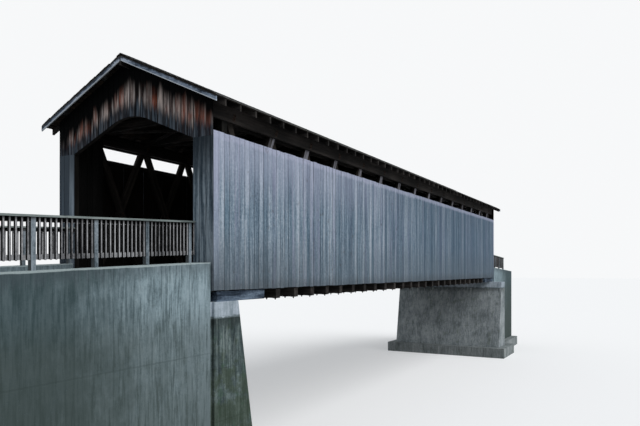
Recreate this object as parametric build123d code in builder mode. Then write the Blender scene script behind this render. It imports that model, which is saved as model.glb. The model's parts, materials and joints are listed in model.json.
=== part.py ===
"""Covered timber bridge on concrete abutments, built from the footings up.

X runs across the roadway, Y along it and Z up. The origin is the centre of the base,
mid-span is at Y = 0 and all sizes are in millimetres. A distance called d runs outward
from the plane of a portal, along its approach.
"""

from build123d import *

import os

# Housing length in truss panels, and the clear opening at its portals.
panel = 1860.0
panel_count = 15
opening_half_width = 2060.0
head_drop = 466.0
head_slope = 0.43
head_round = 620.0
head_depth = 160.0
head_thickness = 100.0
portal_post_width = 130.0
portal_post_depth = 130.0
shelter_length = 1055.0

# Truss: two brace layers clasped between pairs of chord planks.
chord_plank = 80.0
chord_depth = 272.0
chord_spacing = 4052.0
brace_layer = 100.0
brace_width = 200.0
end_post_width = 200.0
end_post_gap = 2.5

# Boarding and the girts that it is nailed to.
board = 25.0
girt_thickness = 75.0
girt_depth = 100.0
girt_lap = 36.0
siding_lap = 24.0
open_band = 346.0

# Top framing.
plate_width = 150.0
plate_height = 120.0
tie_depth = 200.0
tie_width = 150.0
lateral_thickness = 60.0
lateral_cut = 120.0
lateral_inset = 240.0

# Roof.
roof_slope = 0.4688
eave_reach = 362.0
gable_overhang = 300.0
shingle_thickness = 35.0
sheathing_thickness = 22.0
sheathing_setback = 22.0
rafter_depth = 140.0
rafter_width = 60.0
rafter_spacing = 620.0
rafter_setback = 32.0
rafter_seat = 66.0
ridge_board_half = 20.0
ridge_board_depth = 225.0
ridge_cap_width = 150.0
ridge_cap_thickness = 20.0
barge_thickness = 28.0
barge_depth = 115.0

# Floor and bearings.
beam_depth = 250.0
beam_width = 200.0
beam_inset = 50.0
stringer_depth = 300.0
stringer_width = 100.0
stringer_inset = 150.0
stringer_count = 7
deck_thickness = 100.0
deck_gap = 5.0
running_thickness = 50.0
running_width = 700.0
running_centre = 800.0
sill_width = 200.0
sill_setback = 60.0
sill_inset = 40.0
bolster_depth = 237.0
bolster_start = 200.0
bolster_end = 2140.0

# Abutments, wing walls and footings, with levels above the footing base.
footing_top = 580.0
seat_top = 4575.0
cap_depth = 388.0
seat_depth = 960.0
batter = 1.0 / 5.5
joint_start = 60.0
joint_setback = 80.0
wall_gap = 80.0
wall_thickness = 650.0
wall_rise = 225.0
wall_run_out = 116.0
approach_fall = 0.045
backwall_thickness = 450.0
far_breast_extra = 690.0
footing_front = 500.0
footing_side = 400.0
footing_inner = 300.0

# Railing on each wing wall.
rail_inset = 70.0
rail_rise = 965.0
rail_depth = 90.0
rail_thickness = 40.0
post_size = 90.0
post_first = 154.0
bay = 1320.0
bay_count = 4
picket = 38.0
picket_count = 11
picket_drop = 790.0
picket_tail = 10.0
picket_bevel = 12.0
cap_thickness = 38.0
cap_width = 140.0
cap_overhang = 20.0

# Widths, from the opening outward.
chord_inner = opening_half_width + portal_post_width
brace_inner = chord_inner + chord_plank
brace_middle = brace_inner + brace_layer
brace_outer = brace_middle + brace_layer
chord_outer = brace_outer + chord_plank
girt_outer = chord_outer + girt_thickness
outer_half_width = girt_outer + board
eave_half_width = outer_half_width + eave_reach
wall_inner = outer_half_width - wall_thickness
beam_half_length = outer_half_width - beam_inset

# Lengths, from mid-span outward.
half = panel * panel_count / 2
inside = half - board
wall_end = half + wall_gap
wall_back = wall_end + backwall_thickness
wall_reach = post_first + bay * bay_count + wall_run_out
roof_end = half + gable_overhang
seat_front = half - seat_depth
joint_line = half - joint_start

# Levels, from the seat upward.
cap_bottom = seat_top - cap_depth
chord_bottom = seat_top + bolster_depth
stringer_top = chord_bottom + stringer_depth
deck_top = stringer_top + deck_thickness
road_level = deck_top + running_thickness
top_chord_bottom = chord_bottom + chord_spacing
chord_top = top_chord_bottom + chord_depth
plate_top = chord_top + plate_height
siding_bottom = chord_bottom + siding_lap
siding_top = top_chord_bottom - open_band
head_corner_z = top_chord_bottom - head_drop

# Roof layers, whose drops are measured straight down from the shingle face.
cosine = 1.0 / (1.0 + roof_slope ** 2) ** 0.5
shingle_drop = shingle_thickness / cosine
sheathing_drop = shingle_drop + sheathing_thickness / cosine
rafter_drop = sheathing_drop + rafter_depth / cosine
roof_apex_z = plate_top + rafter_drop + roof_slope * (chord_outer - rafter_seat)
sheathing_edge = eave_half_width - sheathing_setback
rafter_tail = eave_half_width - rafter_setback

# Peaked portal head: a straight rise to the rounded top, whose arc meets it without a corner.
head_round_z = head_corner_z + head_slope * (opening_half_width - head_round)
head_apex_z = head_round_z + head_round * ((1 + head_slope ** 2) ** 0.5 - 1) / head_slope

# Braces run from panel point to panel point, between the chords' centre lines.
brace_slope = chord_spacing / panel
brace_half = brace_width / 2 * (1 + brace_slope ** 2) ** 0.5 / brace_slope
truss_middle = (chord_bottom + chord_top) / 2
truss_half_height = (chord_top - chord_bottom) / 2
brace_run = truss_half_height / brace_slope

os.makedirs("parts", exist_ok=True)


def roof_z(x, drop=0.0):
    """Height of a roof layer that lies the given vertical drop below the shingle face."""
    return roof_apex_z - drop - roof_slope * abs(x)


def wall_top(d):
    """Height of a wing wall's top at a distance outward from the portal plane."""
    return road_level + wall_rise - approach_fall * d


def rectangle(u0, u1, v0, v1):
    """Rectangle between two opposite corners of the current sketch."""
    with Locations(((u0 + u1) / 2, (v0 + v1) / 2)):
        Rectangle(abs(u1 - u0), abs(v1 - v0))


def slat(d0, d1, low, high, bevel=0.0):
    """Outline over a near wing wall, with low and high measured from the wall's falling top."""
    Polygon((-half - d0, wall_top(d0) + low), (-half - d1, wall_top(d1) + low + bevel),
            (-half - d1, wall_top(d1) + high), (-half - d0, wall_top(d0) + high), align=None)


def head_line(rise):
    """Right half of the peaked head, from the crown to the jamb, lifted by a rise."""
    crown = TangentArc((0, head_apex_z + rise), (head_round, head_round_z + rise), tangent=(1, 0))
    Line(crown @ 1, (opening_half_width, head_corner_z + rise))


def save(piece, name):
    """Label a finished piece and write it."""
    piece.part.label = name
    export_step(piece.part, "parts/" + name + ".step")


# Footing, battered breast wall and pale seat cap. The far breast wall is wider than the housing.
# Behind the joint line both step in, up to the ends of the wing walls.
for end, e, breast_half in (("near", -1, outer_half_width),
                            ("far", 1, outer_half_width + far_breast_extra)):
    base_front = seat_front - batter * (seat_top - footing_top)
    cap_front = seat_front - batter * cap_depth

    with BuildPart() as footing:
        with BuildSketch():
            rectangle(-breast_half - footing_side, breast_half + footing_side,
                      e * (base_front - footing_front), e * (wall_back + footing_inner))
            rectangle(wall_inner - footing_inner, outer_half_width + footing_side,
                      e * wall_back, e * (half + wall_reach))
            rectangle(-wall_inner + footing_inner, -outer_half_width - footing_side,
                      e * wall_back, e * (half + wall_reach))
        extrude(amount=footing_top)
    save(footing, "footing_" + end)

    with BuildPart() as abutment:
        with BuildSketch(Plane.YZ):
            Polygon((e * joint_line, footing_top), (e * base_front, footing_top),
                    (e * cap_front, cap_bottom), (e * joint_line, cap_bottom), align=None)
        extrude(amount=breast_half, both=True)
        with BuildSketch(Plane.YZ):
            rectangle(e * joint_line, e * wall_end, footing_top, cap_bottom)
        extrude(amount=outer_half_width - joint_setback, both=True)
    save(abutment, "abutment_" + end)

    with BuildPart() as seat_cap:
        with BuildSketch(Plane.YZ):
            Polygon((e * joint_line, cap_bottom), (e * cap_front, cap_bottom),
                    (e * seat_front, seat_top), (e * joint_line, seat_top), align=None)
        extrude(amount=breast_half, both=True)
        with BuildSketch(Plane.YZ):
            rectangle(e * joint_line, e * wall_end, cap_bottom, seat_top)
        extrude(amount=outer_half_width - joint_setback, both=True)
    save(seat_cap, "seat_cap_" + end)

with BuildPart() as backwall:
    with BuildSketch(Plane.XY.offset(footing_top)):
        rectangle(-wall_inner, wall_inner, -wall_end, -wall_back)
    extrude(amount=road_level - footing_top)
save(backwall, "backwall_near")

with BuildPart() as wing_walls:
    with BuildSketch(Plane.YZ.offset(wall_inner)):
        Polygon((-wall_end, footing_top), (-half - wall_reach, footing_top),
                (-half - wall_reach, wall_top(wall_reach)), (-wall_end, wall_top(wall_gap)), align=None)
    extrude(amount=wall_thickness)
    mirror(about=Plane.YZ)
save(wing_walls, "wing_walls_near")

# Railings: posts on the wing walls, rails and pickets between them and a flat cap board.
rail_line = wall_inner + rail_inset
post_lines = [post_first + bay * i for i in range(bay_count + 1)]
post_half = post_size / 2
cap_under = rail_rise - cap_thickness
picket_pitch = bay / (picket_count + 1)
picket_foot = rail_rise - picket_drop
rail_foot = picket_foot + picket_tail

with BuildPart() as railing_posts:
    with BuildSketch(Plane.YZ.offset(rail_line - post_half)):
        for d in post_lines:
            slat(d - post_half, d + post_half, 0, cap_under)
    extrude(amount=post_size)
    mirror(about=Plane.YZ)
save(railing_posts, "railing_posts_near")

with BuildPart() as railing_panels:
    with BuildSketch(Plane.YZ.offset(rail_line - rail_thickness / 2)):
        for d0, d1 in zip([0] + [d + post_half for d in post_lines], [d - post_half for d in post_lines]):
            slat(d0, d1, rail_foot, rail_foot + rail_depth)
            slat(d0, d1, cap_under - rail_depth, cap_under)
    extrude(amount=rail_thickness)
    with BuildSketch(Plane.YZ.offset(rail_line + rail_thickness / 2)):
        picket_lines = [post_lines[0] - picket_pitch]
        picket_lines += [d + picket_pitch * (j + 1) for d in post_lines[:-1] for j in range(picket_count)]
        for d in picket_lines:
            slat(d - picket / 2, d + picket / 2, picket_foot, cap_under, picket_bevel)
    extrude(amount=picket)
    mirror(about=Plane.YZ)
save(railing_panels, "railing_panels_near")

with BuildPart() as railing_caps:
    with BuildSketch(Plane.YZ.offset(rail_line - cap_width / 2)):
        slat(0, post_lines[-1] + post_half + cap_overhang, cap_under, rail_rise)
    extrude(amount=cap_width)
    mirror(about=Plane.YZ)
save(railing_caps, "railing_caps_near")

# Bearings: bolsters that reach out past the seat under the chords, and sills under the stringers.
with BuildPart() as bolsters:
    with BuildSketch(Plane.XY.offset(seat_top)):
        rectangle(chord_inner, beam_half_length, half - bolster_start, half - bolster_end)
    extrude(amount=bolster_depth)
    mirror(about=Plane.YZ)
    mirror(about=Plane.XZ)
save(bolsters, "bolsters")

with BuildPart() as bearing_sills:
    with BuildSketch(Plane.XY.offset(seat_top)):
        rectangle(sill_inset - chord_inner, chord_inner - sill_inset,
                  inside - sill_setback, inside - sill_setback - sill_width)
    extrude(amount=bolster_depth)
    mirror(about=Plane.XZ)
save(bearing_sills, "bearing_sills")

# Floor: beams hung under the chords between the bolsters, stringers, deck and running boards.
beams_each_side = int((half - bolster_end - beam_width / 2) / (panel / 2))
with BuildPart() as floor_beams:
    with BuildSketch(Plane.XY.offset(chord_bottom - beam_depth)):
        with GridLocations(panel, panel / 2, 1, 2 * beams_each_side + 1):
            Rectangle(2 * beam_half_length, beam_width)
    extrude(amount=beam_depth)
save(floor_beams, "floor_beams")

stringer_pitch = 2 * (chord_inner - stringer_inset) / (stringer_count - 1)
with BuildPart() as stringers:
    with BuildSketch(Plane.XY.offset(chord_bottom)):
        with GridLocations(stringer_pitch, panel, stringer_count, 1):
            Rectangle(stringer_width, 2 * inside)
    extrude(amount=stringer_depth)
save(stringers, "stringers")

with BuildPart() as deck:
    with BuildSketch(Plane.XY.offset(stringer_top)):
        Rectangle(2 * (chord_inner - deck_gap), 2 * inside)
        Rectangle(2 * (opening_half_width - 2 * deck_gap), 2 * (wall_end - deck_gap))
    extrude(amount=deck_thickness)
save(deck, "deck")

with BuildPart() as running_boards:
    with BuildSketch(Plane.XY.offset(deck_top)):
        with GridLocations(2 * running_centre, panel, 2, 1):
            Rectangle(running_width, 2 * (wall_end - deck_gap))
    extrude(amount=running_thickness)
save(running_boards, "running_boards")

# Trusses: the outer and inner chord planks leave room for two layers of crossing braces.
for name, low in (("bottom_chords", chord_bottom), ("top_chords", top_chord_bottom)):
    with BuildPart() as chords:
        with BuildSketch(Plane.XZ):
            rectangle(chord_inner, brace_inner, low, low + chord_depth)
            rectangle(brace_outer, chord_outer, low, low + chord_depth)
        extrude(amount=inside, both=True)
        mirror(about=Plane.YZ)
    save(chords, name)

for name, lean, layer in (("main_braces", 1, brace_middle), ("counter_braces", -1, brace_inner)):
    foot, head = -lean * brace_run, lean * brace_run
    with BuildPart() as braces:
        with BuildSketch(Plane.YZ.offset(layer)):
            with Locations((0, truss_middle)):
                with GridLocations(panel, chord_depth, panel_count - 1, 1):
                    Polygon((foot - brace_half, -truss_half_height),
                            (foot + brace_half, -truss_half_height),
                            (head + brace_half, truss_half_height), (head - brace_half, truss_half_height),
                            align=None)
        extrude(amount=brace_layer)
        mirror(about=Plane.YZ)
    save(braces, name)

post_face = panel * (panel_count - 2) / 2 + brace_run + brace_half + end_post_gap
with BuildPart() as end_posts:
    with BuildSketch(Plane.YZ.offset(brace_inner)):
        rectangle(post_face, post_face + end_post_width, chord_bottom, chord_top)
    extrude(amount=brace_outer - brace_inner)
    mirror(about=Plane.YZ)
    mirror(about=Plane.XZ)
save(end_posts, "end_posts")

# Top framing: plates on the outer edge, ties at the panel points and two layers of flat braces.
with BuildPart() as wall_plates:
    with BuildSketch(Plane.XZ):
        rectangle(chord_outer - plate_width, chord_outer, chord_top, plate_top)
    extrude(amount=inside, both=True)
    mirror(about=Plane.YZ)
save(wall_plates, "wall_plates")

with BuildPart() as tie_beams:
    with BuildSketch(Plane.XY.offset(chord_top)):
        with GridLocations(panel, panel, 1, panel_count):
            Rectangle(2 * (chord_outer - plate_width), tie_width)
    extrude(amount=tie_depth)
save(tie_beams, "tie_beams")

lateral_reach = chord_inner - lateral_inset
lateral_half = (panel - tie_width) / 2
with BuildPart() as lateral_braces:
    for layer, lean in ((0, 1), (1, -1)):
        foot, head = -lean * lateral_reach, lean * lateral_reach
        with BuildSketch(Plane.XY.offset(chord_top + layer * lateral_thickness)):
            with GridLocations(panel, panel, 1, panel_count - 1):
                Polygon((foot - lateral_cut, -lateral_half), (foot + lateral_cut, -lateral_half),
                        (head + lateral_cut, lateral_half), (head - lateral_cut, lateral_half), align=None)
        extrude(amount=lateral_thickness)
save(lateral_braces, "lateral_braces")

# Roof frame: each rafter leans on the ridge board and is notched over the wall plate.
rafter_bays = round(2 * half / rafter_spacing)
rafter_lines = [2 * half / rafter_bays * n - half for n in range(1, rafter_bays)]
rafter_lines += [rafter_width / 2 - inside, inside - rafter_width / 2]
with BuildPart() as rafters:
    with BuildSketch(*[Plane.XZ.offset(-y - rafter_width / 2) for y in rafter_lines]):
        Polygon((ridge_board_half, roof_z(ridge_board_half, sheathing_drop)),
                (rafter_tail, roof_z(rafter_tail, sheathing_drop)),
                (rafter_tail, roof_z(rafter_tail, rafter_drop)),
                (ridge_board_half, roof_z(ridge_board_half, rafter_drop)), align=None)
        with Locations((chord_outer, plate_top)):
            Rectangle(plate_width, plate_height, align=(Align.MAX, Align.MAX), mode=Mode.SUBTRACT)
    extrude(amount=rafter_width)
    mirror(about=Plane.YZ)
save(rafters, "rafters")

ridge_board_top = roof_z(ridge_board_half, sheathing_drop)
ridge_board_bottom = ridge_board_top - ridge_board_depth
with BuildPart() as ridge_board:
    with BuildSketch(Plane.XZ):
        rectangle(-ridge_board_half, ridge_board_half, ridge_board_bottom, ridge_board_top)
    extrude(amount=roof_end, both=True)
save(ridge_board, "ridge_board")

# Roof covering.
with BuildPart() as sheathing:
    with BuildSketch(Plane.XZ):
        Polygon((0, roof_z(0, shingle_drop)), (sheathing_edge, roof_z(sheathing_edge, shingle_drop)),
                (sheathing_edge, roof_z(sheathing_edge, sheathing_drop)), (0, roof_z(0, sheathing_drop)),
                align=None)
    extrude(amount=roof_end, both=True)
save(sheathing, "sheathing_right")

with BuildPart() as shingles:
    with BuildSketch(Plane.XZ):
        Polygon((0, roof_z(0)), (eave_half_width, roof_z(eave_half_width)),
                (eave_half_width, roof_z(eave_half_width, shingle_drop)), (0, roof_z(0, shingle_drop)),
                align=None)
    extrude(amount=roof_end, both=True)
save(shingles, "shingles_right")

with BuildPart() as ridge_cap:
    cap_reach = ridge_cap_width * cosine
    cap_lift = ridge_cap_thickness / cosine
    with BuildSketch(Plane.XZ):
        Polygon((0, roof_z(0)), (cap_reach, roof_z(cap_reach)), (cap_reach, roof_z(cap_reach) + cap_lift),
                (0, roof_z(0) + cap_lift), align=None)
        mirror(about=Plane.YZ)
    extrude(amount=roof_end, both=True)
save(ridge_cap, "ridge_cap")

with BuildPart() as barge_boards:
    with BuildSketch(Plane.XZ.offset(roof_end - barge_thickness)):
        Polygon((ridge_board_half, ridge_board_top),
                (sheathing_edge, roof_z(sheathing_edge, sheathing_drop)),
                (sheathing_edge, roof_z(sheathing_edge, sheathing_drop) - barge_depth),
                (ridge_board_half, ridge_board_top - barge_depth), align=None)
    extrude(amount=barge_thickness)
    mirror(about=Plane.YZ)
    mirror(about=Plane.XZ)
save(barge_boards, "barge_boards")

# Side boarding, on girts at the bottom chord, at mid-height and at its top edge.
with BuildPart() as siding:
    with BuildSketch(Plane.XZ):
        rectangle(girt_outer, outer_half_width, siding_bottom, siding_top)
    extrude(amount=inside, both=True)
save(siding, "siding_right")

with BuildPart() as siding_nailers:
    with BuildSketch(Plane.XZ):
        rectangle(chord_outer, girt_outer, siding_bottom + girt_lap, siding_bottom + girt_lap + girt_depth)
        for level in ((siding_bottom + siding_top + girt_depth) / 2, siding_top):
            rectangle(brace_outer, girt_outer, level - girt_depth, level)
    extrude(amount=inside, both=True)
    mirror(about=Plane.YZ)
save(siding_nailers, "siding_nailers")

# Portals: jamb boards beside the opening, gable boards over its head, and the frame behind them.
with BuildPart() as portal_jambs:
    with BuildSketch(Plane.XZ.offset(inside)):
        rectangle(opening_half_width, outer_half_width, siding_bottom, head_corner_z)
    extrude(amount=board)
    mirror(about=Plane.YZ)
save(portal_jambs, "portal_jambs_near")

with BuildPart() as gable:
    with BuildSketch(Plane.XZ.offset(inside)):
        with BuildLine():
            head_line(0)
            Polyline((opening_half_width, head_corner_z), (outer_half_width, head_corner_z),
                     (outer_half_width, roof_z(outer_half_width, sheathing_drop)),
                     (ridge_board_half, ridge_board_top), (ridge_board_half, ridge_board_bottom),
                     (0, ridge_board_bottom))
            mirror(about=Plane.YZ)
        make_face()
    extrude(amount=board)
save(gable, "gable_near")

with BuildPart() as portal_posts:
    with BuildSketch(Plane.XZ.offset(inside - portal_post_depth)):
        rectangle(opening_half_width, chord_inner, deck_top, chord_top)
    extrude(amount=portal_post_depth)
    mirror(about=Plane.YZ)
    mirror(about=Plane.XZ)
save(portal_posts, "portal_posts")

with BuildPart() as portal_heads:
    with BuildSketch(Plane.XZ.offset(inside - head_thickness)):
        with BuildLine():
            head_line(0)
            head_line(head_depth)
            Line((opening_half_width, head_corner_z), (opening_half_width, head_corner_z + head_depth))
            mirror(about=Plane.YZ)
        make_face()
    extrude(amount=head_thickness)
    mirror(about=Plane.XZ)
save(portal_heads, "portal_heads")

with BuildPart() as shelter_boards:
    with BuildSketch(Plane.YZ.offset(chord_inner - board)):
        rectangle(inside - portal_post_depth, half - shelter_length,
                  deck_top, top_chord_bottom + chord_depth / 2)
    extrude(amount=board)
    mirror(about=Plane.YZ)
    mirror(about=Plane.XZ)
save(shelter_boards, "shelter_boards")

# The far end and the left side mirror the near end and the right side.
for piece, name, plane in ((backwall, "backwall_far", Plane.XZ), (wing_walls, "wing_walls_far", Plane.XZ),
                           (railing_posts, "railing_posts_far", Plane.XZ),
                           (railing_panels, "railing_panels_far", Plane.XZ),
                           (railing_caps, "railing_caps_far", Plane.XZ),
                           (portal_jambs, "portal_jambs_far", Plane.XZ), (gable, "gable_far", Plane.XZ),
                           (sheathing, "sheathing_left", Plane.YZ), (shingles, "shingles_left", Plane.YZ),
                           (siding, "siding_left", Plane.YZ)):
    with BuildPart() as reflection:
        mirror(piece.part, about=plane)
    save(reflection, name)
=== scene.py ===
"""Dresses the covered timber bridge with its boards, shingles, planks, bolts and weathered finishes.

Everything is in metres in the bridge's own frame: X across the roadway, Y along it, Z up.
"""

from __future__ import annotations

import json
import logging
import math
from dataclasses import dataclass, replace
from enum import Enum
from typing import Any, Callable, ClassVar, Sequence

import bpy
from mathutils import Matrix, Vector

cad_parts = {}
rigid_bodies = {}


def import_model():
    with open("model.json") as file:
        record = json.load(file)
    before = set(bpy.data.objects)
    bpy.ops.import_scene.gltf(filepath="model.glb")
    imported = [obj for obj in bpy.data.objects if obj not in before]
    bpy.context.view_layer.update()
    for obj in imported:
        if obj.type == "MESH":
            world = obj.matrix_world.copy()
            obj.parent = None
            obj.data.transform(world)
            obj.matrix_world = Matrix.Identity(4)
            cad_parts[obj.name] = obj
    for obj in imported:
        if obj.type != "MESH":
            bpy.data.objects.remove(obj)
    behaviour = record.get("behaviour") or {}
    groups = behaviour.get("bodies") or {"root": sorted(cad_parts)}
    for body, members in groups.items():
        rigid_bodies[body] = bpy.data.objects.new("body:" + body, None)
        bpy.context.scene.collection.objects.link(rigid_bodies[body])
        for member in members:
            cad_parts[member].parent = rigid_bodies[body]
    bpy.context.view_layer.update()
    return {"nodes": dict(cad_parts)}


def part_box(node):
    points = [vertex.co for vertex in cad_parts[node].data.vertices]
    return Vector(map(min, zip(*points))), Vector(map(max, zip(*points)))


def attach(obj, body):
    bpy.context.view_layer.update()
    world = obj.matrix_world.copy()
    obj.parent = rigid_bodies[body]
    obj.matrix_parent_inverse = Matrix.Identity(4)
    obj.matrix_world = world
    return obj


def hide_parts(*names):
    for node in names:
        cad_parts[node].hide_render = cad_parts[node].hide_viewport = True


LOG = logging.getLogger("bridge")
Colour = tuple[float, float, float, float]
Triple = tuple[float, float, float]

# Signs of the two sides, across the roadway, and of the two ends, along it.
SIDES = (("left", -1.0), ("right", 1.0))
ENDS = (("near", -1.0), ("far", 1.0))

# Lines of the bridge that the finishes follow.
PORTAL = 13.95
PORTAL_BACK = 13.9365
OPENING_HALF = 2.06
HEAD_CORNER = 8.398
HEAD_RISE = 0.43
HEAD_ROUND = 0.62
ROOF_APEX = 10.575
ROOF_SLOPE = 0.4688
SIDING_BACK = 2.6365
RAIL_TOP = 6.427
WALL_TOP = 5.487
APPROACH_FALL = 0.045
SEAT_JOINT = 4.187
PANEL = 1.86
PANELS = 15
CHORD_RISE = 4.052

# Open joint between boards, and the width of their worn long edges.
JOINT = 0.004
WORN_EDGE = 0.0025


def paint(red: int, green: int, blue: int) -> Colour:
    """A colour given in display values from 0 to 255, made linear."""
    def linear(value: float) -> float:
        """One channel."""
        value /= 255.0
        return value / 12.92 if value <= 0.04045 else ((value + 0.055) / 1.055) ** 2.4
    return (linear(red), linear(green), linear(blue), 1.0)


# Node graphs


def operators(operation: str) -> tuple[Callable[[Any, Any], Any], Callable[[Any, Any], Any]]:
    """The plain and the reflected form of one arithmetic operator on wires."""
    def plain(self: Wire, other: Any) -> Wire:
        """The wire with a value."""
        return self.math(operation, self, other)

    def reflected(self: Wire, other: Any) -> Wire:
        """A value with the wire."""
        return self.math(operation, other, self)
    return plain, reflected


class Wire:
    """An output socket of a node; arithmetic on it adds math nodes to its graph."""

    def __init__(self, graph: Graph, socket: Any) -> None:
        """Wrap one socket."""
        self.graph = graph
        self.socket = socket

    def math(self, operation: str, *values: Any) -> Wire:
        """Add one math node fed by the given values in order."""
        return self.graph.wire("ShaderNodeMath", dict(enumerate(values)), operation=operation)

    __add__, __radd__ = operators("ADD")
    __sub__, __rsub__ = operators("SUBTRACT")
    __mul__, __rmul__ = operators("MULTIPLY")
    __truediv__, __rtruediv__ = operators("DIVIDE")
    __pow__, __rpow__ = operators("POWER")

    def absolute(self) -> Wire:
        """Value without its sign."""
        return self.math("ABSOLUTE", self)

    def floor(self) -> Wire:
        """Largest whole number not above the value."""
        return self.math("FLOOR", self)

    def fraction(self) -> Wire:
        """What is left above the floor."""
        return self.math("FRACT", self)

    def root(self) -> Wire:
        """Square root."""
        return self.math("SQRT", self)

    def least(self, other: Any) -> Wire:
        """The smaller of two."""
        return self.math("MINIMUM", self, other)

    def most(self, other: Any) -> Wire:
        """The larger of two."""
        return self.math("MAXIMUM", self, other)

    def ramp(self, low: float, high: float) -> Wire:
        """Smooth step: 0 at low and 1 at high; high may be the smaller."""
        if low > high:
            return 1.0 - self.ramp(high, low)
        return self.graph.wire("ShaderNodeMapRange", {"Value": self, "From Min": low, "From Max": high},
                               interpolation_type="SMOOTHSTEP")

    def mixed(self, first: Any, second: Any, blend: str = "MIX") -> Wire:
        """Colour between first and second, by this value."""
        return self.graph.wire("ShaderNodeMix", {"Factor": self, "A": first, "B": second}, data_type="RGBA",
                               blend_type=blend)

    def coated(self, *coats: tuple[Wire, Any]) -> Wire:
        """This colour under coats laid one after another, each by its own share."""
        colour = self
        for share, coat in coats:
            colour = share.mixed(colour, coat)
        return colour


Layers = tuple[Wire, Wire, Wire, float]


class Graph:
    """A node tree with short ways to add and link nodes."""

    spacing: ClassVar[int] = 190
    stacked: ClassVar[int] = 6

    def __init__(self, tree: Any) -> None:
        """Start on an existing tree."""
        self.tree = tree
        self.count = 0

    def node(self, kind: str, inputs: dict[Any, Any] | None = None, **settings: Any) -> Any:
        """Add a node.

        Args:
            kind: The node's type name.
            inputs: Values or wires by socket name or number.
            **settings: Properties, set before any socket is looked up.

        Returns:
            The new node.
        """
        node = self.tree.nodes.new(kind)
        node.location = (self.spacing * (self.count // self.stacked), -self.spacing * (self.count % self.stacked))
        self.count += 1
        for key, value in settings.items():
            setattr(node, key, value)
        for key, value in (inputs or {}).items():
            socket = node.inputs[key] if isinstance(key, int) else next(
                s for s in node.inputs if s.name == key and s.enabled)
            if isinstance(value, Wire):
                self.tree.links.new(value.socket, socket)
            else:
                socket.default_value = value
        return node

    def wire(self, kind: str, inputs: dict[Any, Any] | None = None, output: str | None = None,
             **settings: Any) -> Wire:
        """Add a node and return one of its outputs, the first in use unless it is named."""
        node = self.node(kind, inputs, **settings)
        return Wire(self, next(s for s in node.outputs if s.enabled and output in (None, s.name)))

    def split(self, vector: Any) -> tuple[Wire, Wire, Wire]:
        """The three parts of a vector."""
        node = self.node("ShaderNodeSeparateXYZ", {0: vector})
        return Wire(self, node.outputs[0]), Wire(self, node.outputs[1]), Wire(self, node.outputs[2])

    def join(self, x: Any, y: Any, z: Any) -> Wire:
        """A vector from three values."""
        return self.wire("ShaderNodeCombineXYZ", {0: x, 1: y, 2: z})

    def vector(self, operation: str, *values: Any) -> Wire:
        """A vector math node."""
        return self.wire("ShaderNodeVectorMath", dict(enumerate(values)), operation=operation)

    def attribute(self, name: str, output: str) -> Wire:
        """A value stored on the mesh."""
        return self.wire("ShaderNodeAttribute", output=output, attribute_name=name)

    def noise(self, place: Wire, scale: float, detail: float = 3.0, roughness: float = 0.55) -> Wire:
        """Soft noise from 0 to 1 at a place."""
        return self.wire("ShaderNodeTexNoise",
                         {"Vector": place, "Scale": scale, "Detail": detail, "Roughness": roughness})

    def gradient(self, value: Wire, stops: Sequence[tuple[float, Colour]]) -> Wire:
        """A colour ramp with the given stops."""
        node = self.node("ShaderNodeValToRGB", {0: value})
        elements = node.color_ramp.elements
        while len(elements) < len(stops):
            elements.new(0.5)
        for element, (place, colour) in zip(elements, stops):
            element.position = place
            element.color = colour
        return Wire(self, node.outputs[0])


class Axis(Enum):
    """Direction that a timber's fibres run in."""

    X = (0.05, 1.0, 1.0)
    Y = (1.0, 0.05, 1.0)
    Z = (1.0, 1.0, 0.05)


@dataclass
class Spot:
    """Where a finish is worked out: the place, the same drawn out along the fibres, the board's tone."""

    graph: Graph
    place: Wire
    along: Wire
    tone: Wire | None = None

    def axes(self) -> tuple[Wire, Wire, Wire]:
        """The place's three coordinates."""
        return self.graph.split(self.place)

    def board(self) -> tuple[Wire, Wire, Wire]:
        """The place on its own board, from -0.5 to 0.5 each way."""
        return self.graph.split(self.graph.attribute("board", "Vector"))

    def drawn(self, salt: float) -> Wire:
        """A number of its own for each board, from 0 to 1."""
        return (self.tone * salt).fraction()

    def cloud(self, scale: float, detail: float = 3.0, roughness: float = 0.55) -> Wire:
        """Noise that is alike in every direction."""
        return self.graph.noise(self.place, scale, detail, roughness)

    def streak(self, scale: float, detail: float = 3.0, roughness: float = 0.55) -> Wire:
        """Noise drawn out along fibres or runs."""
        return self.graph.noise(self.along, scale, detail, roughness)


# Finishes


@dataclass(frozen=True)
class Finish:
    """Base of the finishes: makes a material and hands its graph to the finish's own recipe."""

    name: str
    shine: ClassVar[float] = 0.1
    relief: ClassVar[float] = 0.9

    def material(self) -> bpy.types.Material:
        """Build the material once and return it."""
        label = self.name + "_finish"
        known = bpy.data.materials.get(label)
        if known:
            return known
        made = bpy.data.materials.new(label)
        made.use_nodes = True
        made.node_tree.nodes.clear()
        graph = Graph(made.node_tree)
        colour, roughness, height, depth = self.recipe(graph)
        bump = graph.wire("ShaderNodeBump",
                          {"Strength": self.relief, "Distance": depth, "Height": height}, "Normal")
        shader = graph.wire("ShaderNodeBsdfPrincipled",
                            {"Base Color": colour, "Roughness": roughness, "Normal": bump,
                             "Specular IOR Level": self.shine})
        graph.node("ShaderNodeOutputMaterial", {"Surface": shader})
        return made

    def recipe(self, graph: Graph) -> Layers:
        """Colour, roughness, height and bump depth."""
        raise NotImplementedError


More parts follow.
